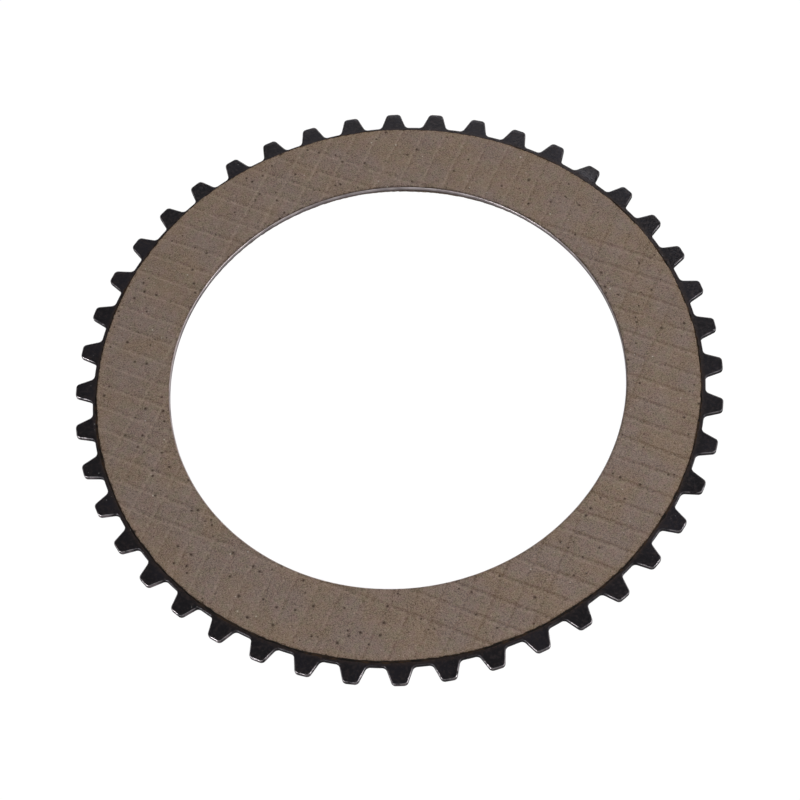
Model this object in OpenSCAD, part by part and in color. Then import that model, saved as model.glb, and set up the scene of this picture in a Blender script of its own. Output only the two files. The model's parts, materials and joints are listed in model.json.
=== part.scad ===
// Friction disc of an oil-bathed multi-plate brake or clutch.
// A stamped steel core plate with teeth round its outside carries a bonded friction lining on each face.
// Two sets of shallow oil grooves, at right angles to each other, cross each lining. One tooth is bent down.
// The origin is at the centre of the bore, halfway through the thickness. +Z is the axis, and a tooth lies on +X.

/* [Teeth] */
// Number of teeth round the outside
teeth = 44; // [36:4:52]
// Diameter of the pitch circle, 4 mm for each of 44 teeth
pitch_d = 176; // [160:2:200]
// Height of a tooth outside the pitch circle
addendum = 3; // [2:0.1:4]
// Height of a tooth inside the pitch circle
dedendum = 1.95; // [1.5:0.05:3]
// Width of a tooth on the pitch circle
tooth_w = 6; // [5:0.05:6.5]
// Angle between a flank and the middle line of its tooth
flank_angle = 19; // [12:0.5:24]
// Radius of the rounded corners at a tooth's tip
tip_corner_r = 1.25; // [0.5:0.05:1.5]
// Radius of the fillets between a tooth and the rim
root_fillet_r = 1.4; // [0.5:0.05:1.6]
// Which tooth is bent down, counted anticlockwise from the one on +X
bent_tooth = 6; // [1:1:30]
// How far it is bent, in degrees
bend_angle = 17; // [5:1:25]
// Inner radius of the bend at its foot
bend_r = 2; // [1:0.5:3]

/* [Rings] */
// Thickness of the steel
core_t = 1.5; // [1:0.1:3]
// Thickness of each lining
lining_t = 0.5; // [0.4:0.05:1]
// Radial width of a lining
lining_w = 20.3; // [14:0.1:24]
// Bare steel between the root circle of the teeth and the lining
lining_rim = 1.3; // [0.5:0.1:4]
// Bare steel between the bore and the lining
lining_setback = 0.3; // [0.1:0.05:1]

/* [Oil grooves] */
// Distance from one groove to the next
groove_pitch = 6.32; // [5:0.02:9]
// Width of a groove at the friction surface
groove_w = 1.6; // [1:0.1:2.4]
// Width of the groove's floor
groove_floor_w = 0.4; // [0.2:0.1:0.8]
// Depth of a groove
groove_depth = 0.18; // [0.1:0.01:0.3]
// Direction of the first set of grooves, in degrees from +X
groove_angle = -32.3; // [-45:0.1:45]
// How far the first set lies off the centre of the disc
groove_shift_1 = -1.2; // [-2:0.1:2]
// How far the second set lies off the centre of the disc
groove_shift_2 = 0.1; // [-2:0.1:2]

/* [Hidden] */
$fn = 96;

steel = [0.14, 0.13, 0.14];
friction_paper = [0.45, 0.41, 0.36];

// Solids that cut another one reach past its faces by this much
past = 1;
// Longest step, in degrees, along the small arcs of a tooth
arc_step = 18;

pitch_r = pitch_d / 2;
tooth_h = addendum + dedendum;
tip_r = pitch_r + addendum;
root_r = pitch_r - dedendum;
lining_r = root_r - lining_rim;
lining_bore_r = lining_r - lining_w;
bore_r = lining_bore_r - lining_setback;

// One flank of the tooth whose middle is on +X: its direction towards the tip, its normal out of the tooth and
// its distance from the origin
flank_dir = [cos(flank_angle), -sin(flank_angle)];
flank_out = [sin(flank_angle), cos(flank_angle)];
flank_off = [sqrt(pitch_r * pitch_r - tooth_w * tooth_w / 4), tooth_w / 2] * flank_out;

// Centre of a circle that lies a distance d from the origin and a signed distance off from the flank
function beside_flank(d, off) =
    let (across = flank_off + off)
    flank_out * across + flank_dir * sqrt(d * d - across * across);
tip_corner = beside_flank(tip_r - tip_corner_r, -tip_corner_r);
root_fillet = beside_flank(root_r + root_fillet_r, root_fillet_r);

function angle_of(v) = atan2(v.y, v.x);
function arc(centre, r, from, to) =
    let (steps = ceil(abs(to - from) / arc_step))
    [for (i = [0 : steps]) let (a = from + (to - from) * i / steps) centre + r * [cos(a), sin(a)]];
function mirrored_in_y(points) = [for (i = [len(points) - 1 : -1 : 0]) [points[i].x, -points[i].y]];
function turned(points, a) = [for (p = points) [p.x * cos(a) - p.y * sin(a), p.x * sin(a) + p.y * cos(a)]];

// One side of a tooth, from the middle of its tip to the root circle
flank_side = concat(
    arc(tip_corner, tip_corner_r, angle_of(tip_corner), angle_of(flank_out)),
    arc(root_fillet, root_fillet_r, angle_of(flank_out) + 180, angle_of(root_fillet) + 180)
);
tooth_outline = concat(mirrored_in_y(flank_side), [[tip_r, 0]], flank_side);
// Where a tooth's fillet meets the root circle
tooth_foot = flank_side[len(flank_side) - 1];
// The rim halfway between two teeth
gap_middle = root_r * [cos(180 / teeth), sin(180 / teeth)];
// Where the flat sheet ends under the bent tooth
bend_start = (tooth_foot.x + root_r) / 2;

// Grooves are cut only where they cross the bore, so none runs round the lining
grooves_aside = floor(bore_r / groove_pitch);

// Flat sheet under the whole plate, open under the bent tooth
module flat_sheet() {
    difference() {
        translate([0, 0, -core_t / 2])
        cylinder(h = core_t, r = tip_r + past);
        translate([bend_start, -gap_middle.y, -core_t])
        cube([2 * tooth_h, 2 * gap_middle.y, 2 * core_t]);
    }
}

// Strip of sheet under the bent tooth: it bends down at the root circle and runs straight past the tip circle
module bent_sheet() {
    bend_axis = [root_r, -core_t / 2 - bend_r];
    upper_bend = arc(bend_axis, bend_r + core_t, 90, 90 - bend_angle);
    lower_bend = arc(bend_axis, bend_r, 90 - bend_angle, 90);
    run = 2 * tooth_h * [cos(bend_angle), -sin(bend_angle)];
    half_w = (tooth_foot.y + gap_middle.y) / 2;
    translate([0, half_w, 0])
    rotate([90, 0, 0])
    linear_extrude(2 * half_w)
    polygon(concat(
        [[lining_r, core_t / 2]],
        upper_bend,
        [upper_bend[len(upper_bend) - 1] + run, lower_bend[0] + run],
        lower_bend,
        [[lining_r, -core_t / 2]]
    ));
}

module core_plate() {
    color(steel)
    intersection() {
        translate([0, 0, -2 * tooth_h])
        linear_extrude(4 * tooth_h)
        difference() {
            polygon([
                for (i = [0 : teeth - 1])
                each turned(concat(tooth_outline, [gap_middle]), i * 360 / teeth)
            ]);
            circle(bore_r);
        }
        rotate(bent_tooth * 360 / teeth) {
            flat_sheet();
            bent_sheet();
        }
    }
}

// Straight grooves side by side, cut down from z = 0, with the middle one shifted off the centre
module groove_set(shift) {
    for (i = [-grooves_aside : grooves_aside])
        translate([-tip_r, shift + i * groove_pitch, 0])
        rotate([90, 0, 90])
        linear_extrude(2 * tip_r)
        polygon([
            [-groove_floor_w / 2, -groove_depth],
            [groove_floor_w / 2, -groove_depth],
            [groove_w / 2, 0],
            [groove_w / 2, past],
            [-groove_w / 2, past],
            [-groove_w / 2, 0]
        ]);
}

module lining() {
    color(friction_paper)
    difference() {
        translate([0, 0, core_t / 2])
        linear_extrude(lining_t)
        difference() {
            circle(lining_r);
            circle(lining_bore_r);
        }
        translate([0, 0, core_t / 2 + lining_t]) {
            rotate(groove_angle) groove_set(groove_shift_1);
            rotate(groove_angle + 90) groove_set(groove_shift_2);
        }
    }
}

module front_lining() {
    lining();
}

module rear_lining() {
    mirror([0, 0, 1]) lining();
}

core_plate();
front_lining();
rear_lining();
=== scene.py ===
"""Looks of the friction disc: a black steel core, two friction-paper linings and the glue round them."""

import json
import math

import bpy
import numpy as np
from mathutils import Euler, Matrix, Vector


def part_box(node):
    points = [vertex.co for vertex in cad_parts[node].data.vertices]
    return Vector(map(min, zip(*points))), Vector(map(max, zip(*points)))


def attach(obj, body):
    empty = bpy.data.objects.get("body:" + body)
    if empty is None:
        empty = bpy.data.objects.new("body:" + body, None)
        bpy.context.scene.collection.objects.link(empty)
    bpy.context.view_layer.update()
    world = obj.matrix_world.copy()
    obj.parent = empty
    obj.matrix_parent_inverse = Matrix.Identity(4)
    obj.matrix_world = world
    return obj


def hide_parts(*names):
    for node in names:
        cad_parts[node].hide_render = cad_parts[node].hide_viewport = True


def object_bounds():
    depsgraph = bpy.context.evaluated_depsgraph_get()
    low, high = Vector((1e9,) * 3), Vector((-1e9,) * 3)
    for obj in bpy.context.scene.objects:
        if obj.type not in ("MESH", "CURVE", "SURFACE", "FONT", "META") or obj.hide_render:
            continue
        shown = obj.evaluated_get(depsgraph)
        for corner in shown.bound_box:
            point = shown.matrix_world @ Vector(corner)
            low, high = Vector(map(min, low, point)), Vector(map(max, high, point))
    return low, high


MM = 0.001

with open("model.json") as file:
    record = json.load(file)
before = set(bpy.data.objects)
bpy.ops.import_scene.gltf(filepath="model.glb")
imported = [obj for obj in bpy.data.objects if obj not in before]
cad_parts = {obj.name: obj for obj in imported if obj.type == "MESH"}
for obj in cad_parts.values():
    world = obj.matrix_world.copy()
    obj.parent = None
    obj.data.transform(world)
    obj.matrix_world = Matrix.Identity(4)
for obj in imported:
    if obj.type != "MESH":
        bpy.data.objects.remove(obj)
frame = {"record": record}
cad_low, cad_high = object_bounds()
scene = bpy.context.scene

# Driving sizes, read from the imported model, in metres
lining_low, lining_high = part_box("front_lining")
tip_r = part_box("core_plate")[1].x
lining_r = lining_high.x
steel_top = lining_low.z
lining_top = lining_high.z
mounts = {mount["name"]: mount for mount in frame["record"]["mounts"]}
bore_r = mounts["bore"]["dims"]["r_mm"] * MM

# Sizes of the spline teeth, the linings and their grooves
TEETH = 44
ADDENDUM = 3 * MM
DEDENDUM = 1.95 * MM
PITCH_R = tip_r - ADDENDUM
ROOT_R = PITCH_R - DEDENDUM
TOOTH_W = 6 * MM
FLANK_ANGLE = math.radians(19)
TIP_CORNER_R = 1.25 * MM
ROOT_FILLET_R = 1.4 * MM
# The tooth that the photograph shows bent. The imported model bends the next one, number 6.
BENT_TOOTH = 5
BEND_ANGLE = math.radians(17)
BEND_R = 2 * MM
LINING_SETBACK = 0.3 * MM
LINING_BORE_R = bore_r + LINING_SETBACK
GROOVE_PITCH = 6.32 * MM
GROOVE_W = 1.6 * MM
GROOVE_DEPTH = 0.18 * MM
GROOVE_SETS = [
    # direction in degrees, distance off the centre
    (-32.3, -1.2 * MM),
    (57.7, 0.1 * MM),
]


# Camera

# Place and turn of the camera that the photograph's outline was fitted with, in the disc's own frame
CAMERA_PLACE = (-0.007605, -0.27186, 0.48577)
CAMERA_TILT = 0.49944
CAMERA_ROLL = -0.14207
CAMERA_SWING = -0.02840
FOCAL_PIXELS = 1980.71
IMAGE_PIXELS = 800
SENSOR_MM = 36


def make_camera():
    """Camera at the photograph's viewing angle."""
    data = bpy.data.cameras.new("camera")
    data.sensor_width = SENSOR_MM
    data.lens = SENSOR_MM * FOCAL_PIXELS / IMAGE_PIXELS
    camera = bpy.data.objects.new("camera", data)
    turn = (
        Matrix.Rotation(CAMERA_SWING, 4, "Z")
        @ Matrix.Rotation(CAMERA_TILT, 4, "X")
        @ Matrix.Rotation(CAMERA_ROLL, 4, "Z")
    )
    camera.matrix_world = Matrix.Translation(CAMERA_PLACE) @ turn
    scene.collection.objects.link(camera)
    scene.camera = camera


make_camera()


# Smooth noise over a plane, and round a ring

# How many cells the noise has each way before it repeats
NOISE_CELLS = (257, 263)


def lattice_noise(x, y, cell, seed):
    """Smooth noise from -1 to 1 at the points x, y, with one random value for each cell."""
    u = np.asarray(x) / cell
    v = np.asarray(y) / cell
    left = np.floor(u).astype(int)
    below = np.floor(v).astype(int)
    table = np.random.default_rng(seed).uniform(-1, 1, NOISE_CELLS)

    def value(i, j):
        return table[i % NOISE_CELLS[0], j % NOISE_CELLS[1]]

    fx = u - left
    fy = v - below
    fx = fx * fx * (3 - 2 * fx)
    fy = fy * fy * (3 - 2 * fy)
    low = value(left, below) * (1 - fx) + value(left + 1, below) * fx
    high = value(left, below + 1) * (1 - fx) + value(left + 1, below + 1) * fx
    return low * (1 - fy) + high * fy


def unevenness(x, y, layers, seed):
    """Sum of smooth noises; each layer is how far it strays and over what length."""
    total = 0
    for number, (reach, cell) in enumerate(layers):
        total = total + reach * lattice_noise(x, y, cell, seed + number)
    return total


def ring_unevenness(angle, radius, layers, seed):
    """The same round a circle, with no seam."""
    return unevenness(radius * np.cos(angle), radius * np.sin(angle), layers, seed)


# Meshes


def new_piece(name, vertices, faces, materials, face_materials=None):
    """A mesh object; face_materials says which of its materials each face has, where it has several."""
    mesh = bpy.data.meshes.new(name)
    mesh.from_pydata(vertices.tolist(), [], faces.tolist())
    for material in materials:
        mesh.materials.append(material)
    if face_materials is not None:
        mesh.polygons.foreach_set("material_index", face_materials)
    mesh.shade_smooth()
    mesh.update()
    piece = bpy.data.objects.new(name, mesh)
    scene.collection.objects.link(piece)
    return piece


def closed_band_faces(rows, columns):
    """Quads of a band whose rows close on themselves and whose last row joins the first one."""
    row = np.arange(rows)[:, None]
    column = np.arange(columns)[None, :]
    next_row = (row + 1) % rows
    next_column = (column + 1) % columns
    corners = [
        row * columns + column,
        row * columns + next_column,
        next_row * columns + next_column,
        next_row * columns + column,
    ]
    return np.stack(corners, -1).reshape(-1, 4)


def add_attribute(piece, name, values):
    """Gives each vertex of a piece a number that its material reads."""
    attribute = piece.data.attributes.new(name, "FLOAT", "POINT")
    attribute.data.foreach_set("value", np.asarray(values, np.float32).ravel())


# Core plate

# How many points the outline has along half a tip, a corner, a flank and half a gap
TIP_STEPS = 3
CORNER_STEPS = 7
FLANK_STEPS = 6
ROOT_STEPS = 3
# How many rings of faces lie on the plate's face, and in each rounded edge of its outline
FACE_STEPS = 6
EDGE_STEPS = 4
EDGE_ROUND = 0.32 * MM
BORE_EDGE_ROUND = 0.12 * MM
# How many rings of faces the bore's wall has, with its edges
BORE_STEPS = 4
# How far inside the lining's edge the fine rings of the plate's face end
UNDER_LINING = 1 * MM
# The side of the disc where the teeth are worn most
WORN_SIDE = math.radians(210)
# How far outside the root circle the wear starts to grow, and over what height it grows
WEAR_START = 0.5 * MM
WEAR_RISE = 1.8 * MM
# Wear in the gaps, as a share of that on the teeth
GAP_WEAR = 0.1
# How much more wear the worn side has than a side next to it, and how much less the one across has
SIDE_WEAR = 0.3
# The lower edge's wear, as a share of the upper edge's
LOWER_EDGE_WEAR = 0.3
# How strong the wall's burnish is just under the upper edge and at its middle; the material paints it
# bright, as a painted reflection of the white table
UPPER_WALL_SHINE = 0.7
MIDDLE_WALL_SHINE = 1
# How quickly the burnish and its painted reflection fade where the outline has rubbed less
SHINE_FADE = 4


def circle_points(radius, start, end, count):
    """Points on a circle about the disc's centre, with the directions that point out of the plate."""
    a = np.linspace(start, end, count, endpoint=False)
    out = np.stack([np.cos(a), np.sin(a)], -1)
    return radius * out, out


def corner_points(centre, radius, start, end, count, outward):
    """The same round a tooth's corner or fillet; outward is 1 for a corner and -1 for a fillet."""
    a = np.linspace(start, end, count, endpoint=False)
    ray = np.stack([np.cos(a), np.sin(a)], -1)
    return centre + radius * ray, outward * ray


def tooth_side():
    """Half of a tooth's outline, from the middle of its tip to the middle of the gap, for a tooth on +X."""
    along = np.array([math.cos(FLANK_ANGLE), -math.sin(FLANK_ANGLE)])
    out = np.array([math.sin(FLANK_ANGLE), math.cos(FLANK_ANGLE)])
    on_pitch = np.array([math.sqrt(PITCH_R**2 - TOOTH_W**2 / 4), TOOTH_W / 2])

    def beside_flank(distance, off):
        across = on_pitch @ out + off
        return out * across + along * math.sqrt(distance**2 - across**2)

    tip_corner = beside_flank(tip_r - TIP_CORNER_R, -TIP_CORNER_R)
    root_fillet = beside_flank(ROOT_R + ROOT_FILLET_R, ROOT_FILLET_R)
    tip_turn = math.atan2(tip_corner[1], tip_corner[0])
    root_turn = math.atan2(root_fillet[1], root_fillet[0])
    flank_turn = math.pi / 2 - FLANK_ANGLE
    flank_top = tip_corner + TIP_CORNER_R * out
    flank_foot = root_fillet - ROOT_FILLET_R * out
    steps = np.arange(FLANK_STEPS)[:, None] / FLANK_STEPS
    flank = flank_top + (flank_foot - flank_top) * steps
    stretches = [
        circle_points(tip_r, 0, tip_turn, TIP_STEPS),
        corner_points(tip_corner, TIP_CORNER_R, tip_turn, flank_turn, CORNER_STEPS, 1),
        (flank, np.tile(out, (FLANK_STEPS, 1))),
        corner_points(
            root_fillet, ROOT_FILLET_R, flank_turn + math.pi, root_turn + math.pi, CORNER_STEPS, -1
        ),
        circle_points(ROOT_R, root_turn, math.pi / TEETH, ROOT_STEPS),
    ]
    points = np.concatenate([points for points, _ in stretches])
    outs = np.concatenate([outs for _, outs in stretches])
    return points, outs


def plate_outline():
    """The whole toothed outline, anticlockwise from the gap before the tooth on +X, and its directions."""
    points, outs = tooth_side()
    flip = np.array([1, -1])
    gap = ROOT_R * np.array([math.cos(math.pi / TEETH), math.sin(math.pi / TEETH)])
    back_points = np.concatenate([[gap], points[:0:-1]]) * flip
    back_outs = np.concatenate([[gap / ROOT_R], outs[:0:-1]]) * flip
    tooth_points = np.concatenate([back_points, points])
    tooth_outs = np.concatenate([back_outs, outs])
    all_points = []
    all_outs = []
    for i in range(TEETH):
        a = 2 * math.pi * i / TEETH
        turn = np.array([[math.cos(a), math.sin(a)], [-math.sin(a), math.cos(a)]])
        all_points.append(tooth_points @ turn)
        all_outs.append(tooth_outs @ turn)
    return np.concatenate(all_points), np.concatenate(all_outs)


def rounded_edge():
    """Steps from a face down to the wall: distance inside the outline, depth under the face, and wear."""
    turns = np.linspace(0, math.pi / 2, EDGE_STEPS + 1)
    return [(EDGE_ROUND * (1 - math.sin(t)), EDGE_ROUND * (1 - math.cos(t)), math.sin(2 * t)) for t in turns]


def rubbed_outline(outline):
    """How much each part of the outline has rubbed in the housing, most on one side of the disc."""
    up_tooth = np.hypot(outline[:, 0], outline[:, 1]) - ROOT_R - WEAR_START
    side = np.cos(np.arctan2(outline[:, 1], outline[:, 0]) - WORN_SIDE)
    on_tooth = GAP_WEAR + (1 - GAP_WEAR) * np.clip(up_tooth / WEAR_RISE, 0, 1)
    return on_tooth * (1 - SIDE_WEAR + SIDE_WEAR * side)


def drop_of_bent_tooth(points):
    """How far the sheet has dropped at each point, and how much thicker it measures upright there."""
    a = 2 * math.pi * BENT_TOOTH / TEETH
    along = points[:, 0] * math.cos(a) + points[:, 1] * math.sin(a)
    across = -points[:, 0] * math.sin(a) + points[:, 1] * math.cos(a)
    past = np.where(np.abs(across) < ROOT_R * math.sin(math.pi / TEETH), along - ROOT_R, 0)
    past = np.maximum(past, 0)
    mid_r = BEND_R + steel_top
    bend_run = mid_r * math.sin(BEND_ANGLE)
    in_bend = mid_r - np.sqrt(mid_r**2 - np.minimum(past, bend_run) ** 2)
    straight = np.maximum(past - bend_run, 0) * math.tan(BEND_ANGLE)
    slope = np.minimum(past / bend_run, 1) * BEND_ANGLE
    return in_bend + straight, 1 / np.cos(slope)


def core_plate_rows(outline, outs):
    """Rings of points round the plate's section, with their height, wear and burnish, which also sets the
    wall's painted reflection.
    """
    angle = np.arctan2(outline[:, 1], outline[:, 0])
    ray = np.stack([np.cos(angle), np.sin(angle)], -1)
    inside = (lining_r - UNDER_LINING) * ray
    edge = outline - outs * EDGE_ROUND
    face_steps = np.linspace(0, 1, FACE_STEPS + 1)[1:]

    def face_ring(t, height):
        return edge + (inside - edge) * t, height, 0, 0

    # The bore comes first, from the underside up to the upper face
    rows = [
        ((bore_r + BORE_EDGE_ROUND) * ray, -steel_top, 0, 0),
        (bore_r * ray, -steel_top + BORE_EDGE_ROUND, 0, 0),
        (bore_r * ray, 0, 0, 0),
        (bore_r * ray, steel_top - BORE_EDGE_ROUND, 0, 0),
        ((bore_r + BORE_EDGE_ROUND) * ray, steel_top, 0, 0),
    ]
    rows += [face_ring(t, steel_top) for t in face_steps[::-1]]
    for inset, down, wear in rounded_edge()[:-1]:
        rows.append((outline - outs * inset, steel_top - down, wear, 0))
    # The outline's wall has a burnish, painted as a bright reflection, in its upper half, and the burnish
    # fades out below
    rows.append((outline, steel_top - EDGE_ROUND, 0, UPPER_WALL_SHINE))
    rows.append((outline, 0, 0, MIDDLE_WALL_SHINE))
    for inset, down, wear in rounded_edge()[::-1]:
        rows.append((outline - outs * inset, down - steel_top, LOWER_EDGE_WEAR * wear, 0))
    rows += [face_ring(t, -steel_top) for t in face_steps]
    return rows


def make_core_plate(steel, bore_steel):
    """The stamped core with its teeth; the bore's wall has a finish of its own."""
    outline, outs = plate_outline()
    rows = core_plate_rows(outline, outs)
    columns = len(outline)
    rubbed = rubbed_outline(outline)
    vertices = []
    worn = []
    burnish_and_painted_reflection = []
    for points, height, wear, shine in rows:
        drop, stretch = drop_of_bent_tooth(points)
        z = height * stretch - drop
        vertices.append(np.column_stack([points, z]))
        worn.append(wear * rubbed)
        # Burnish on the wall, which the material paints as a bright reflection
        burnish_and_painted_reflection.append(shine * rubbed**SHINE_FADE)
    faces = closed_band_faces(len(rows), columns)
    face_materials = np.zeros(len(faces), int)
    face_materials[: BORE_STEPS * columns] = 1
    plate = new_piece("steel_core", np.concatenate(vertices), faces, [steel, bore_steel], face_materials)
    add_attribute(plate, "worn", np.concatenate(worn))
    add_attribute(plate, "burnish_and_painted_reflection", np.concatenate(burnish_and_painted_reflection))
    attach(plate, "root")
    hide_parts("core_plate")


# Oil grooves

# Grooves run only where they cross the bore, this many on each side of the middle one
GROOVES_ASIDE = math.floor(bore_r / GROOVE_PITCH)
# How far the grooves wander off their straight line, over what length, and the seed of that noise
GROOVE_WANDER = [(0.10 * MM, 9 * MM, 11), (0.06 * MM, 2.2 * MM, 21)]
# How deep the grooves are pressed, as a share of their depth: the middle value and how much it changes
PRESSED = 0.85
PRESSED_CHANGE = 0.25
# The length over which it changes along a groove, how much quicker it changes across them, and the seed
PRESSED_RUN = 14 * MM
PRESSED_ACROSS = 40
PRESSED_SEED = 31


def across_grooves(x, y, number):
    """Where points lie along a set of grooves, and across it from its middle one; they wander a little."""
    direction, shift = GROOVE_SETS[number]
    a = math.radians(direction)
    along = x * math.cos(a) + y * math.sin(a)
    across = -x * math.sin(a) + y * math.cos(a) - shift
    wander = 0
    for reach, cell, seed in GROOVE_WANDER:
        wander = wander + reach * lattice_noise(along, across, cell, seed + number)
    return along, across + wander


def groove_depth_at(x, y):
    """Depth of the pressed oil grooves under the friction face at each point."""
    depth = np.zeros_like(x)
    for number in range(len(GROOVE_SETS)):
        along, across = across_grooves(x, y, number)
        nearest = np.round(across / GROOVE_PITCH)
        off = np.abs(across - nearest * GROOVE_PITCH)
        noise = lattice_noise(along, PRESSED_ACROSS * across, PRESSED_RUN, PRESSED_SEED + number)
        pressed = PRESSED + PRESSED_CHANGE * noise
        profile = 0.5 + 0.5 * np.cos(math.pi * np.minimum(off / (GROOVE_W / 2), 1))
        profile = np.where(np.abs(nearest) <= GROOVES_ASIDE, profile, 0)
        depth = np.maximum(depth, GROOVE_DEPTH * pressed * profile)
    return depth


# Friction linings

# How many points each ring of a lining has, and how many rings its face has
LINING_COLUMNS = 1400
LINING_ROWS = 58
LINING_EDGE_ROUND = 0.08 * MM
# How far the face and the top of the outer edge lie under the lining's full height
FACE_DROP = 0.02 * MM
OUTER_EDGE_DROP = 1.5 * LINING_EDGE_ROUND
# How far the foot of the outer edge stands out
FOOT = 0.04 * MM
# How far the cut edges and the friction face are uneven, and over what lengths
OUTER_EDGE_UNEVEN = [(0.12 * MM, 1.1 * MM), (0.10 * MM, 5 * MM)]
INNER_EDGE_UNEVEN = [(0.07 * MM, 0.9 * MM)]
FACE_UNEVEN = [(0.012 * MM, 2.6 * MM), (0.006 * MM, 0.7 * MM)]
# How much glue shows on the cut edges: in blots on the inner one, and all along the outer one
INNER_GLUE_BLOTS = [(0.5, 4 * MM)]
INNER_TOP_GLUE = 0.4
OUTER_TOP_GLUE = 0.75
# Azimuth in degrees, and how far the upper lining's outer edge lies outside its circle there in millimetres
UPPER_EDGE_WANDER = [
    (0, -0.15),
    (30, -0.2),
    (43, -0.3),
    (60, -0.1),
    (75, 0.0),
    (90, 0.25),
    (105, 0.48),
    (120, 0.58),
    (135, 0.3),
    (150, 0.15),
    (180, 0.0),
    (210, -0.15),
    (240, -0.05),
    (270, -0.15),
    (315, -0.05),
]
# Azimuth in degrees, and how far the lower lining's inner edge lies outside its circle there in millimetres
LOWER_EDGE_WANDER = [(0, 0.0), (45, 0.0), (60, -0.2), (75, -0.5), (90, -0.15), (120, -0.1), (150, 0.0)]
# Widths of the outer and inner border in which the paper changes
OUTER_BORDER = 2.2 * MM
INNER_BORDER = 0.8 * MM
# The side of the disc where the dark lines along the grooves, of dirt and painted shade, are strongest
DIRTY_SIDE = math.radians(320)
# What the lining's mesh tells its material at each point
LINING_MARKS = ("across_1", "across_2", "dirty", "glued", "outer_border", "inner_border")


def lining_edge_wander(angle, wander):
    """How far the cut edge of a lining strays from its circle."""
    places = np.radians(np.array([place for place, _ in wander] + [360 + wander[0][0]]))
    strays = np.array([stray for _, stray in wander] + [wander[0][1]])
    return np.interp(angle, places, strays) * MM


def lining_edges(angle, side, seed):
    """Radii of a lining's inner and outer cut edge round the disc."""
    outer = lining_r + ring_unevenness(angle, lining_r, OUTER_EDGE_UNEVEN, seed)
    inner = LINING_BORE_R + ring_unevenness(angle, LINING_BORE_R, INNER_EDGE_UNEVEN, seed + 2)
    if side > 0:
        outer = outer + lining_edge_wander(angle, UPPER_EDGE_WANDER)
    else:
        inner = inner + lining_edge_wander(angle, LOWER_EDGE_WANDER)
    return inner, outer


def lining_rows(angle, inner, outer, seed):
    """Radii of the rings of points over a lining, with their height (None on the face) and their glue."""
    blots = np.clip(ring_unevenness(angle, LINING_BORE_R, INNER_GLUE_BLOTS, seed + 5), 0, 1)
    rows = [(inner, steel_top, blots), (inner, lining_top - LINING_EDGE_ROUND, INNER_TOP_GLUE * blots)]
    for t in np.linspace(0, 1, LINING_ROWS):
        radius = inner + LINING_EDGE_ROUND + (outer - inner - 2 * LINING_EDGE_ROUND) * t
        rows.append((radius, None, 0.0))
    rows.append((outer, lining_top - OUTER_EDGE_DROP, OUTER_TOP_GLUE))
    rows.append((outer + FOOT, steel_top, 1.0))
    return rows


def make_lining(name, node, side, material, seed):
    """One lining; side is 1 for the upper one and -1 for the lower one, whose grooves are mirrored."""
    angle = np.arange(LINING_COLUMNS) * 2 * math.pi / LINING_COLUMNS
    inner, outer = lining_edges(angle, side, seed)
    rows = lining_rows(angle, inner, outer, seed)
    vertices = []
    marks = {mark: [] for mark in LINING_MARKS}
    for radius, height, glued in rows:
        x = radius * np.cos(angle)
        y = radius * np.sin(angle)
        depth = groove_depth_at(x, y)
        if height is None:
            z = lining_top - FACE_DROP + unevenness(x, y, FACE_UNEVEN, seed + 3) - depth
        elif height > steel_top:
            z = np.minimum(height, lining_top - depth)
        else:
            z = np.full_like(x, height)
        vertices.append(np.column_stack([x, y, side * z]))
        marks["across_1"].append(across_grooves(x, y, 0)[1])
        marks["across_2"].append(across_grooves(x, y, 1)[1])
        marks["dirty"].append(0.5 + 0.5 * np.cos(angle - DIRTY_SIDE))
        marks["glued"].append(np.full_like(x, glued))
        marks["outer_border"].append(np.clip(1 - (outer - radius) / OUTER_BORDER, 0, 1))
        marks["inner_border"].append(np.clip(1 - (radius - inner) / INNER_BORDER, 0, 1))
    faces = closed_band_faces(len(rows), LINING_COLUMNS)
    if side > 0:
        faces = faces[:, ::-1]
    lining = new_piece(name, np.concatenate(vertices), faces, [material])
    for mark, values in marks.items():
        add_attribute(lining, mark, np.concatenate(values))
    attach(lining, "root")
    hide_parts(node)


# Glue line

GLUE_ROWS = 6
# How far the glue starts inside the lining's edge, and how deep its rim is sunk into the steel's face
GLUE_TUCK = 0.25 * MM
GLUE_SINK = 0.01 * MM
# Width and height of the bead, and how far they are uneven over what lengths
GLUE_WIDTH = 0.75 * MM
GLUE_WIDTH_UNEVEN = [(0.2 * MM, 1.3 * MM), (0.2 * MM, 6 * MM)]
GLUE_HEIGHT = 0.2 * MM
GLUE_HEIGHT_UNEVEN = [(0.06 * MM, 2 * MM)]
# How steeply the bead falls off: 1 is a straight slope, and more is a hollow one
GLUE_HOLLOW = 1.5


def make_glue_line(name, side, material, seed):
    """Cured glue that was pressed out from under a lining, as a low uneven bead at its outer edge."""
    angle = np.arange(LINING_COLUMNS) * 2 * math.pi / LINING_COLUMNS
    inside = np.full_like(angle, lining_r - GLUE_TUCK)
    if side > 0:
        inside = inside + lining_edge_wander(angle, UPPER_EDGE_WANDER)
    width = GLUE_WIDTH + ring_unevenness(angle, lining_r, GLUE_WIDTH_UNEVEN, seed)
    width = np.clip(width, GLUE_TUCK, ROOT_R - EDGE_ROUND - inside)
    height = GLUE_HEIGHT + ring_unevenness(angle, lining_r, GLUE_HEIGHT_UNEVEN, seed + 2)
    vertices = []
    for t in np.linspace(0, 1, GLUE_ROWS):
        radius = inside + width * t
        z = steel_top + height * (1 - t) ** GLUE_HOLLOW - GLUE_SINK * t
        vertices.append(np.column_stack([radius * np.cos(angle), radius * np.sin(angle), side * z]))
    z = np.full_like(angle, steel_top - GLUE_SINK)
    vertices.append(np.column_stack([inside * np.cos(angle), inside * np.sin(angle), side * z]))
    faces = closed_band_faces(len(vertices), LINING_COLUMNS)
    if side > 0:
        faces = faces[:, ::-1]
    bead = new_piece(name, np.concatenate(vertices), faces, [material])
    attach(bead, "root")


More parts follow.
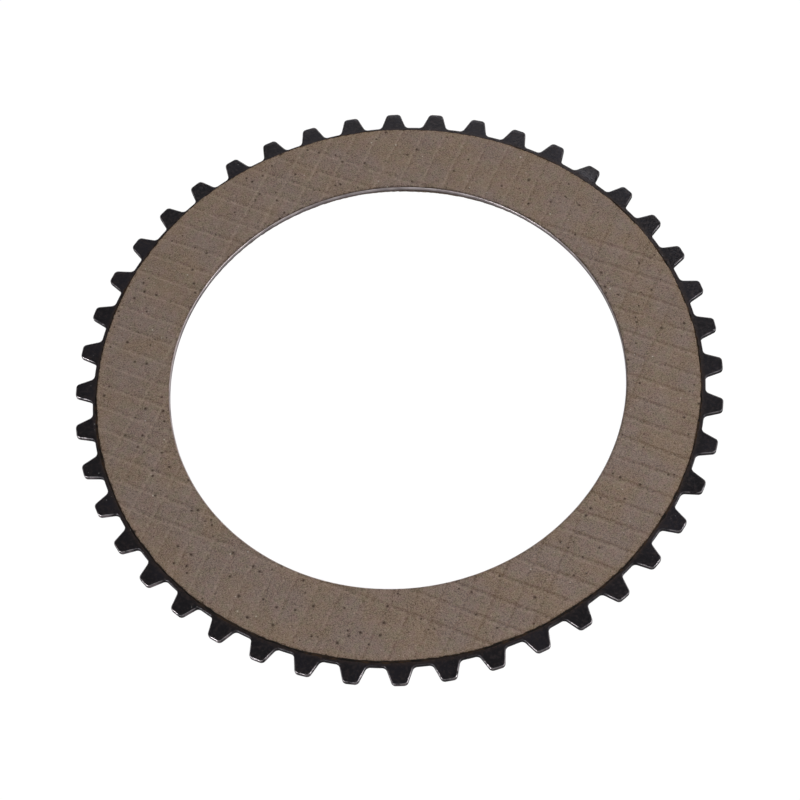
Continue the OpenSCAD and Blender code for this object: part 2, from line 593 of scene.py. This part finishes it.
# Materials


def new_material(name):
    """A material with its node tree and its shader."""
    material = bpy.data.materials.new(name)
    material.use_nodes = True
    return material, material.node_tree, material.node_tree.nodes["Principled BSDF"]


def add_node(tree, kind, **settings):
    """A new node with its own settings, such as its operation."""
    node = tree.nodes.new(kind)
    for key, value in settings.items():
        setattr(node, key, value)
    return node


def new_effect(name, inputs, outputs):
    """A shader node group; inputs are (name, socket type, start value), outputs are (name, socket type)."""
    group = bpy.data.node_groups.new(name, "ShaderNodeTree")
    for label, kind, value in inputs:
        socket = group.interface.new_socket(label, in_out="INPUT", socket_type=kind)
        if value is not None:
            socket.default_value = value
    for label, kind in outputs:
        group.interface.new_socket(label, in_out="OUTPUT", socket_type=kind)
    start = group.nodes.new("NodeGroupInput")
    end = group.nodes.new("NodeGroupOutput")
    return group, start, end


FLOAT = "NodeSocketFloat"
VECTOR = "NodeSocketVector"


def make_mottle_effect():
    """Soft patches: a mask that is 0 where a noise is under Low, and 1 where it is over High."""
    group, start, end = new_effect(
        "mottle",
        [
            ("Place", VECTOR, None),
            ("Features per metre", FLOAT, 100.0),
            ("Detail", FLOAT, 3.0),
            ("Low", FLOAT, 0.4),
            ("High", FLOAT, 0.6),
        ],
        [("Mask", FLOAT)],
    )
    noise = add_node(group, "ShaderNodeTexNoise")
    spread = add_node(group, "ShaderNodeMapRange", interpolation_type="SMOOTHSTEP")
    link = group.links.new
    link(start.outputs["Place"], noise.inputs["Vector"])
    link(start.outputs["Features per metre"], noise.inputs["Scale"])
    link(start.outputs["Detail"], noise.inputs["Detail"])
    link(noise.outputs["Fac"], spread.inputs["Value"])
    link(start.outputs["Low"], spread.inputs["From Min"])
    link(start.outputs["High"], spread.inputs["From Max"])
    link(spread.outputs["Result"], end.inputs["Mask"])
    return group


def make_specks_effect():
    """Scattered round specks: a mask that is 1 in a speck, with only a share of the cells holding one."""
    group, start, end = new_effect(
        "specks",
        [
            ("Place", VECTOR, None),
            ("Cells per metre", FLOAT, 1000.0),
            ("Speck size", FLOAT, 0.2),
            ("Share", FLOAT, 0.1),
        ],
        [("Mask", FLOAT)],
    )
    cells = add_node(group, "ShaderNodeTexVoronoi", voronoi_dimensions="2D")
    split = add_node(group, "ShaderNodeSeparateColor")
    chosen = add_node(group, "ShaderNodeMath", operation="LESS_THAN")
    size = add_node(group, "ShaderNodeMath", operation="MULTIPLY")
    inside = add_node(group, "ShaderNodeMapRange", interpolation_type="SMOOTHSTEP")
    both = add_node(group, "ShaderNodeMath", operation="MULTIPLY")
    link = group.links.new
    link(start.outputs["Place"], cells.inputs["Vector"])
    link(start.outputs["Cells per metre"], cells.inputs["Scale"])
    link(cells.outputs["Color"], split.inputs["Color"])
    link(split.outputs["Red"], chosen.inputs[0])
    link(start.outputs["Share"], chosen.inputs[1])
    link(start.outputs["Speck size"], size.inputs[0])
    link(split.outputs["Green"], size.inputs[1])
    link(cells.outputs["Distance"], inside.inputs["Value"])
    link(size.outputs["Value"], inside.inputs["From Min"])
    inside.inputs["From Max"].default_value = 0.0
    link(inside.outputs["Result"], both.inputs[0])
    link(chosen.outputs["Value"], both.inputs[1])
    link(both.outputs["Value"], end.inputs["Mask"])
    return group


def make_groove_line_effect():
    """A line along each groove of a set: a mask that is 1 in the line's middle and 0 at Width from it."""
    group, start, end = new_effect(
        "groove_line",
        [
            ("Across", FLOAT, 0.0),
            ("Offset", FLOAT, 0.0),
            ("Pitch", FLOAT, 0.006),
            ("Width", FLOAT, 0.0003),
            ("Lines aside", FLOAT, 10.0),
        ],
        [("Mask", FLOAT)],
    )

    def maths(operation, first, second=None):
        node = add_node(group, "ShaderNodeMath", operation=operation)
        group.links.new(first, node.inputs[0])
        if second is not None:
            group.links.new(second, node.inputs[1])
        return node.outputs["Value"]

    pitch = start.outputs["Pitch"]
    pitches = maths("DIVIDE", maths("SUBTRACT", start.outputs["Across"], start.outputs["Offset"]), pitch)
    nearest = maths("ROUND", pitches)
    off = maths("MULTIPLY", maths("ABSOLUTE", maths("SUBTRACT", pitches, nearest)), pitch)
    line = add_node(group, "ShaderNodeMapRange", interpolation_type="SMOOTHSTEP")
    line.inputs["From Max"].default_value = 0.0
    group.links.new(off, line.inputs["Value"])
    group.links.new(start.outputs["Width"], line.inputs["From Min"])
    within = maths("LESS_THAN", maths("ABSOLUTE", nearest), start.outputs["Lines aside"])
    group.links.new(maths("MULTIPLY", line.outputs["Result"], within), end.inputs["Mask"])
    return group


MOTTLE = make_mottle_effect()
SPECKS = make_specks_effect()
GROOVE_LINE = make_groove_line_effect()


def place_effect(tree, effect, source, **values):
    """Places an effect in a material, with its own values and its first input fed; gives back its mask."""
    node = add_node(tree, "ShaderNodeGroup", node_tree=effect)
    tree.links.new(source, node.inputs[0])
    for key, value in values.items():
        node.inputs[key.replace("_", " ")].default_value = value
    return node.outputs["Mask"]


def where_both(tree, first, second):
    """The mask that is 1 only where both masks are."""
    node = add_node(tree, "ShaderNodeMath", operation="MULTIPLY")
    tree.links.new(first, node.inputs[0])
    tree.links.new(second, node.inputs[1])
    return node.outputs["Value"]


def ramp(tree, value, start, end):
    """A mask that is 0 where the value is at start and 1 where it is at end."""
    node = add_node(tree, "ShaderNodeMapRange", interpolation_type="SMOOTHSTEP")
    node.inputs["From Min"].default_value = start
    node.inputs["From Max"].default_value = end
    tree.links.new(value, node.inputs["Value"])
    return node.outputs["Result"]


def distance_from_axis(tree, place):
    """How far a place lies from the disc's axis."""
    flat = add_node(tree, "ShaderNodeVectorMath", operation="MULTIPLY")
    flat.inputs[1].default_value = (1, 1, 0)
    length = add_node(tree, "ShaderNodeVectorMath", operation="LENGTH")
    tree.links.new(place, flat.inputs[0])
    tree.links.new(flat.outputs["Vector"], length.inputs[0])
    return length.outputs["Value"]


def height_in_disc(tree, place):
    """How high a place lies over the middle of the core plate."""
    split = add_node(tree, "ShaderNodeSeparateXYZ")
    tree.links.new(place, split.inputs["Vector"])
    return split.outputs["Z"]


def tint(tree, mask, under, over, amount=1.0):
    """Mixes one colour over another where the mask says; under and over are colours or sockets."""
    mix = add_node(tree, "ShaderNodeMix", data_type="RGBA")
    scaled = add_node(tree, "ShaderNodeMath", operation="MULTIPLY")
    scaled.inputs[1].default_value = amount
    tree.links.new(mask, scaled.inputs[0])
    tree.links.new(scaled.outputs["Value"], mix.inputs["Factor"])
    for colour, socket in ((under, mix.inputs["A"]), (over, mix.inputs["B"])):
        if isinstance(colour, tuple):
            socket.default_value = (*colour, 1)
        else:
            tree.links.new(colour, socket)
    return mix.outputs["Result"]


def add_bump(tree, shader, layers):
    """Bump from masks; each layer is (mask, height in metres)."""
    normal = None
    for mask, height in layers:
        bump = add_node(tree, "ShaderNodeBump")
        bump.inputs["Distance"].default_value = height
        tree.links.new(mask, bump.inputs["Height"])
        if normal is not None:
            tree.links.new(normal, bump.inputs["Normal"])
        normal = bump.outputs["Normal"]
    tree.links.new(normal, shader.inputs["Normal"])


def object_place(tree):
    """The place on the disc, in metres, in the shared frame."""
    return add_node(tree, "ShaderNodeTexCoord").outputs["Object"]


def read_attribute(tree, name):
    """What add_attribute has given the piece under this name."""
    return add_node(tree, "ShaderNodeAttribute", attribute_name=name).outputs["Fac"]


# Half the width of a line along a groove, dark with dirt and painted shade, or pale with a painted highlight
GROOVE_LINE_W = 0.6 * MM


def tint_grooves(tree, place, colour, dirt_and_painted_shade, pale):
    """Lays dark lines of grime and painted shade, and pale lines of painted highlight, along the grooves,
    over the paper's colour.
    """
    broken = place_effect(tree, MOTTLE, place, Features_per_metre=260, Detail=2, Low=0.2, High=0.55)
    dirty = where_both(tree, broken, read_attribute(tree, "dirty"))
    clean = where_both(tree, broken, ramp(tree, read_attribute(tree, "dirty"), 0.9, 0.1))
    # Dark lines of dirt and painted shade lie on the shaded flank of the first set's grooves, and near the
    # floor of the second set's on its shaded side; on the clean side the first set's dark line is painted
    # shade only.
    # The lit flank of each groove gets a painted highlight, most of all on the clean side of the disc.
    groove_marks = [
        # set of grooves, distance off its lines, where on the disc, colour, amount
        ("across_1", 0.7 * MM, dirty, dirt_and_painted_shade, 0.3),
        ("across_1", -0.3 * MM, dirty, pale, 0.1),
        ("across_1", 0.75 * MM, clean, dirt_and_painted_shade, 0.08),
        ("across_1", -0.5 * MM, clean, pale, 0.17),
        ("across_2", -0.1 * MM, dirty, dirt_and_painted_shade, 0.2),
        ("across_2", 0.45 * MM, clean, pale, 0.2),
    ]
    for across, offset, where, mark_colour, amount in groove_marks:
        line = place_effect(
            tree,
            GROOVE_LINE,
            read_attribute(tree, across),
            Offset=offset,
            Pitch=GROOVE_PITCH,
            Width=GROOVE_LINE_W,
            Lines_aside=GROOVES_ASIDE + 0.5,
        )
        colour = tint(tree, where_both(tree, line, where), colour, mark_colour, amount)
    return colour


def friction_paper_material():
    """Worn friction paper: patches, stains and fibres, pits, dust, and marks along the grooves and edges;
    the groove marks are grime, painted shade and painted highlight.
    """
    material, tree, shader = new_material("friction_paper")
    place = object_place(tree)
    grey = (0.157, 0.118, 0.104)
    tan = (0.175, 0.121, 0.082)
    olive = (0.146, 0.129, 0.082)
    rose = (0.183, 0.113, 0.103)
    dark = (0.045, 0.028, 0.020)
    # Pale for the paper's grain and fibres, and for the painted highlight on the grooves' lit flanks
    pale = (0.30, 0.230, 0.180)
    warm = (0.194, 0.126, 0.074)
    rim_brown = (0.060, 0.032, 0.012)
    # Dark brown for the lines along the grooves: dirt, and painted shade on their shaded flanks
    dirt_and_painted_shade = (0.055, 0.026, 0.006)
    pit_brown = (0.022, 0.012, 0.008)
    dust_white = (0.45, 0.42, 0.36)
    glue_brown = (0.020, 0.011, 0.007)
    patches = place_effect(tree, MOTTLE, place, Features_per_metre=75, Detail=4, Low=0.4, High=0.6)
    stains = place_effect(tree, MOTTLE, place, Features_per_metre=150, Detail=2, Low=0.35, High=0.7)
    cloud = place_effect(tree, MOTTLE, place, Features_per_metre=420, Detail=2, Low=0.3, High=0.7)
    fibres = place_effect(tree, MOTTLE, place, Features_per_metre=1500, Detail=2, Low=0.4, High=0.62)
    grain = place_effect(tree, MOTTLE, place, Features_per_metre=3200, Detail=1, Low=0.4, High=0.62)
    pits = place_effect(tree, SPECKS, place, Cells_per_metre=620, Speck_size=0.52, Share=0.09)
    fine_pits = place_effect(tree, SPECKS, place, Cells_per_metre=1300, Speck_size=0.62, Share=0.2)
    pale_fibres = place_effect(tree, SPECKS, place, Cells_per_metre=1100, Speck_size=0.5, Share=0.12)
    dust = place_effect(tree, SPECKS, place, Cells_per_metre=420, Speck_size=0.16, Share=0.05)
    olive_spots = place_effect(tree, MOTTLE, place, Features_per_metre=480, Detail=1.5, Low=0.48, High=0.62)
    rose_spots = place_effect(tree, MOTTLE, place, Features_per_metre=560, Detail=1.5, Low=0.5, High=0.64)
    outer_border = read_attribute(tree, "outer_border")
    inner_border = read_attribute(tree, "inner_border")
    glued_rim = where_both(tree, fibres, ramp(tree, outer_border, 0.7, 1.0))
    colour = tint(tree, patches, grey, tan)
    colour = tint(tree, olive_spots, colour, olive, 0.5)
    colour = tint(tree, rose_spots, colour, rose, 0.5)
    colour = tint(tree, outer_border, colour, warm, 0.45)
    colour = tint(tree, stains, colour, dark, 0.18)
    colour = tint(tree, cloud, colour, dark, 0.18)
    colour = tint(tree, glued_rim, colour, rim_brown, 0.85)
    colour = tint(tree, fibres, colour, dark, 0.33)
    colour = tint(tree, grain, colour, pale, 0.5)
    colour = tint(tree, pale_fibres, colour, pale, 0.6)
    colour = tint(tree, fine_pits, colour, dark, 0.52)
    # Dirt, painted shade and painted highlight along the grooves
    colour = tint_grooves(tree, place, colour, dirt_and_painted_shade, pale)
    colour = tint(tree, where_both(tree, fibres, inner_border), colour, pit_brown, 0.4)
    colour = tint(tree, pits, colour, pit_brown, 0.9)
    colour = tint(tree, dust, colour, dust_white, 0.8)
    colour = tint(tree, read_attribute(tree, "glued"), colour, glue_brown, 0.95)
    tree.links.new(colour, shader.inputs["Base Color"])
    shader.inputs["Roughness"].default_value = 0.9
    shader.inputs["Specular IOR Level"].default_value = 0.2
    add_bump(tree, shader, [(fibres, -0.03 * MM), (pits, -0.1 * MM)])
    return material


def cured_glue_material():
    """Glue baked nearly black, with brown patches."""
    material, tree, shader = new_material("cured_glue")
    place = object_place(tree)
    burnt_black = (0.005, 0.0035, 0.0025)
    resin_brown = (0.030, 0.016, 0.008)
    patches = place_effect(tree, MOTTLE, place, Features_per_metre=500, Detail=3, Low=0.4, High=0.65)
    colour = tint(tree, patches, burnt_black, resin_brown)
    tree.links.new(colour, shader.inputs["Base Color"])
    shader.inputs["Roughness"].default_value = 0.7
    shader.inputs["Specular IOR Level"].default_value = 0.12
    return material


def black_oxide_material():
    """Black oxide over stamped steel, brownish beside the lining, worn bright along the tooth edges, and
    painted bright on the burnish of the outline's wall as a painted reflection.
    """
    material, tree, shader = new_material("black_oxide_steel")
    place = object_place(tree)
    black = (0.0040, 0.0034, 0.0040)
    violet = (0.0070, 0.0060, 0.0082)
    dull_brown = (0.0150, 0.0115, 0.0115)
    oily_brown = (0.028, 0.017, 0.012)
    bare_steel = (0.50, 0.46, 0.48)
    # Mauve for the wall's burnish, painted bright to stand in for the reflection of the white table
    mauve_steel = (0.28, 0.22, 0.24)
    bore_rim_steel = (0.19, 0.145, 0.125)
    dust_grey = (0.3, 0.3, 0.3)
    oily_from = ROOT_R + 0.3 * MM
    bore_rim_end = LINING_BORE_R + 0.4 * MM
    patches = place_effect(tree, MOTTLE, place, Features_per_metre=60, Detail=4, Low=0.4, High=0.65)
    flecks = place_effect(tree, MOTTLE, place, Features_per_metre=1100, Detail=2, Low=0.46, High=0.68)
    grain = place_effect(tree, MOTTLE, place, Features_per_metre=2500, Detail=3, Low=0.3, High=0.7)
    rubbed = place_effect(tree, MOTTLE, place, Features_per_metre=520, Detail=4, Low=0.34, High=0.54)
    dust = place_effect(tree, SPECKS, place, Cells_per_metre=700, Speck_size=0.15, Share=0.05)
    worn = where_both(tree, read_attribute(tree, "worn"), rubbed)
    # The wall's burnish, painted as a bright reflection of the white table
    burnish_and_painted_reflection = where_both(tree, read_attribute(tree, "burnish_and_painted_reflection"), rubbed)
    beside_lining = ramp(tree, distance_from_axis(tree, place), oily_from, lining_r)
    round_bore = ramp(tree, distance_from_axis(tree, place), bore_rim_end, LINING_BORE_R)
    colour = tint(tree, patches, black, violet)
    colour = tint(tree, flecks, colour, dull_brown)
    colour = tint(tree, where_both(tree, beside_lining, grain), colour, oily_brown)
    colour = tint(tree, round_bore, colour, bore_rim_steel)
    colour = tint(tree, dust, colour, dust_grey, 0.9)
    colour = tint(tree, burnish_and_painted_reflection, colour, mauve_steel, 0.8)
    colour = tint(tree, worn, colour, bare_steel, 0.8)
    tree.links.new(colour, shader.inputs["Base Color"])
    tree.links.new(worn, shader.inputs["Metallic"])
    shader.inputs["Roughness"].default_value = 0.33
    shader.inputs["Specular IOR Level"].default_value = 0.4
    shader.inputs["Specular Tint"].default_value = (0.93, 0.90, 1, 1)
    add_bump(tree, shader, [(grain, 0.024 * MM)])
    return material


def bore_steel_material():
    """Wall of the punched bore: burnish in its upper half, painted bright as a reflection of the white
    table, and torn and dark in its lower half.
    """
    material, tree, shader = new_material("sheared_bore_steel")
    place = object_place(tree)
    # Bare steel of the wall, painted bright to stand in for the reflection of the white table
    dull_steel = (0.40, 0.345, 0.355)
    bright_steel = (0.66, 0.59, 0.60)
    torn_steel = (0.22, 0.175, 0.172)
    all_torn_height = -0.2 * MM
    patches = place_effect(tree, MOTTLE, place, Features_per_metre=200, Detail=4, Low=0.35, High=0.65)
    torn = ramp(tree, height_in_disc(tree, place), 0.0, all_torn_height)
    colour = tint(tree, patches, dull_steel, bright_steel)
    colour = tint(tree, torn, colour, torn_steel)
    tree.links.new(colour, shader.inputs["Base Color"])
    shader.inputs["Metallic"].default_value = 0.6
    shader.inputs["Roughness"].default_value = 0.45
    return material


def white_floor_material():
    """A lit white table: it glows evenly, so the disc leaves no shadow on it, as in the photograph."""
    material, tree, shader = new_material("white_floor")
    shader.inputs["Base Color"].default_value = (0.02, 0.02, 0.02, 1)
    shader.inputs["Emission Color"].default_value = (1, 1, 1, 1)
    shader.inputs["Emission Strength"].default_value = 1.0
    shader.inputs["Roughness"].default_value = 1.0
    shader.inputs["Specular IOR Level"].default_value = 0.0
    return material


# Floor and light

FLOOR_SIZE = 6.0


def make_floor():
    """The white table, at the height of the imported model's lowest point."""
    half = FLOOR_SIZE / 2
    corners = np.array([[-half, -half, 0], [half, -half, 0], [half, half, 0], [-half, half, 0]])
    corners[:, 2] = cad_low.z
    floor = new_piece("floor", corners, np.array([[0, 1, 2, 3]]), [white_floor_material()])
    floor.visible_glossy = False


# Each soft box: name, azimuth from +X and elevation in degrees, distance, width, height, power in watts,
# and whether it lights the paper, or else glints on the steel
SOFTBOXES = [
    ("key_softbox", 48, 45, 1.8, 0.9, 0.9, 26.3, True),
    ("front_fill", 295, 60, 0.7, 0.3, 0.3, 2.2, True),
    ("back_sheen", 78, 29, 1.2, 0.5, 0.4, 3, False),
    ("left_glint", 208, 36, 1.2, 0.5, 0.35, 15, False),
    ("right_glint", 340, 34, 1.2, 0.4, 0.35, 11, False),
]
WORLD_STRENGTH = 0.12


def make_softbox(name, azimuth, elevation, distance, width, height, watts, lights_paper):
    """A lamp that looks at the disc."""
    data = bpy.data.lights.new(name, "AREA")
    data.shape = "RECTANGLE"
    data.size = width
    data.size_y = height
    data.energy = watts
    lamp = bpy.data.objects.new(name, data)
    a = math.radians(azimuth)
    e = math.radians(elevation)
    lamp.location = (
        distance * math.cos(e) * math.cos(a),
        distance * math.cos(e) * math.sin(a),
        distance * math.sin(e),
    )
    lamp.rotation_euler = Euler((math.radians(90 - elevation), 0, a + math.pi / 2))
    lamp.visible_glossy = not lights_paper
    lamp.visible_diffuse = lights_paper
    scene.collection.objects.link(lamp)


def make_lights():
    """The soft boxes, a faint even light from all round, and colours shown as they are."""
    world = bpy.data.worlds.new("world")
    world.use_nodes = True
    background = world.node_tree.nodes["Background"]
    background.inputs["Color"].default_value = (1, 1, 1, 1)
    background.inputs["Strength"].default_value = WORLD_STRENGTH
    scene.world = world
    for box in SOFTBOXES:
        make_softbox(*box)
    scene.view_settings.view_transform = "Standard"


make_floor()
make_lights()
make_core_plate(black_oxide_material(), bore_steel_material())
paper = friction_paper_material()
make_lining("upper_lining", "front_lining", 1, paper, 100)
make_lining("lower_lining", "rear_lining", -1, paper, 200)
glue = cured_glue_material()
make_glue_line("upper_glue_line", 1, glue, 300)
make_glue_line("lower_glue_line", -1, glue, 400)
